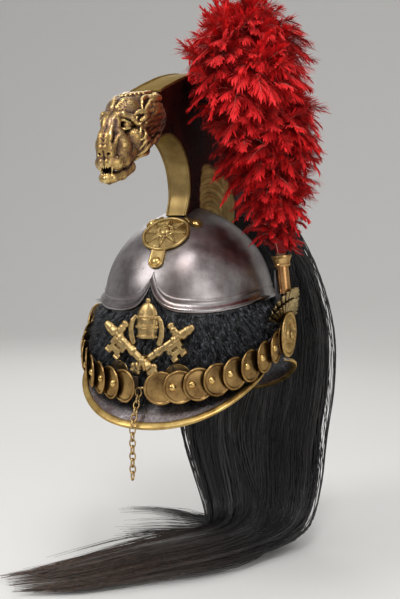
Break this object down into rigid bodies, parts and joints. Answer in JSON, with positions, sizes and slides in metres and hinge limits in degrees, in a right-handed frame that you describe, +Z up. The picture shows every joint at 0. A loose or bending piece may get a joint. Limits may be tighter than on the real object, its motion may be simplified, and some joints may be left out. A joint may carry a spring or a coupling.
{
  "type": "dragoon helmet",
  "caption": "Dragoon helmet: raised steel skull, fur turban, brass crest with a lion's head, scale chin straps, red feather plume and a long black horsehair mane.",
  "frame": {"origin": "centre of the head opening, in the plane of the base band's lower edge at the front and the back", "axes": "+Z up, -Y forwards (the way the wearer faces), +X to the wearer's left"},
  "size_m": [0.3202, 0.3768, 0.6047],
  "materials": {
    "steel": "aged, lightly pitted, with brown spots",
    "dark_iron": "dark, slightly rusty",
    "brass": "aged, darker in the hollows",
    "dark_brass": "heavily toned, almost brown",
    "fur": "black, soft and slightly glossy",
    "horsehair": "black, long and straight, browner at the ends",
    "feathers": "matt, deep red",
    "leather": "worn, brown",
    "lace": "matt cord",
    "wood": "plain, unvarnished"
  },
  "bodies": {
    "helmet": {"skull": "steel", "base_band": "steel", "fur_turban": "fur", "visor": "steel", "visor_binding": "brass", "neck_guard": "steel", "neck_guard_binding": "brass", "band_rivets": "dark_iron", "liner_band": "leather", "liner_tongues": "leather", "liner_lace": "lace", "crest_left_side": "dark_brass", "crest_right_side": "dark_brass", "crest_front_strip": "brass", "crest_top_strip": "brass", "crest_lugs": "brass", "crest_screws": "dark_iron", "lion_head": "brass", "rosette": "brass", "rosette_stud": "brass", "badge_crown": "brass", "badge_key_left": "brass", "badge_key_right": "brass", "badge_lappets": "brass", "badge_prongs": "brass", "turban_discs": "brass", "boss_post_left": "dark_iron", "boss_post_right": "dark_iron", "socket_bracket": "dark_iron", "plume_socket": "brass", "plume_cup": "brass", "cockade_outer": "brass", "cockade_inner": "brass", "mane_block": "wood", "horsehair_mane": "horsehair"},
    "left_boss": {"ear_boss_left": "brass", "strap_tab_left": "leather", "strap_end_scale_left": "brass"},
    "left_strap": {"strap_leather_left": "leather", "strap_scales_left": "brass", "strap_studs_left": "brass", "strap_hook": "brass"},
    "right_boss": {"ear_boss_right": "brass", "strap_tab_right": "leather", "strap_end_scale_right": "brass"},
    "right_strap": {"strap_leather_right": "leather", "strap_scales_right": "brass", "strap_studs_right": "brass", "strap_loop": "brass", "chain_upper": "brass"},
    "hook_chain": {"chain_lower": "brass"},
    "plume": {"plume_stem": "wood", "plume_feathers": "feathers"}
  },
  "joints": [
    {"name": "left_boss_turn", "type": "hinge", "parent": "helmet", "child": "left_boss", "pos_m": [0.10925, 0, 0.052], "axis": [1, 0, 0], "range_deg": [0, 10]},
    {"name": "left_strap_open", "type": "hinge", "parent": "left_boss", "child": "left_strap", "pos_m": [0.1049, -0.0255, 0.052], "axis": [0, 0, 1], "range_deg": [0, 50]},
    {"name": "right_boss_turn", "type": "hinge", "parent": "helmet", "child": "right_boss", "pos_m": [-0.10925, 0, 0.052], "axis": [1, 0, 0], "range_deg": [0, 10]},
    {"name": "right_strap_open", "type": "hinge", "parent": "right_boss", "child": "right_strap", "pos_m": [-0.1049, -0.0255, 0.052], "axis": [0, 0, -1], "range_deg": [0, 50]},
    {"name": "chain_swing", "type": "hinge", "parent": "right_strap", "child": "hook_chain", "pos_m": [-0.0044, -0.13603, -0.02571], "axis": [1, 0, 0], "range_deg": [-40, 15]},
    {"name": "plume_slide", "type": "slide", "parent": "helmet", "child": "plume", "axis": [-0.1132, 0, 0.9936], "range_m": [0, 0.04]}
  ],
  "couplings": [
    {"joint": "left_strap_open", "follows": "left_boss_turn", "ratio": 5},
    {"joint": "right_strap_open", "follows": "right_boss_turn", "ratio": 5}
  ]
}
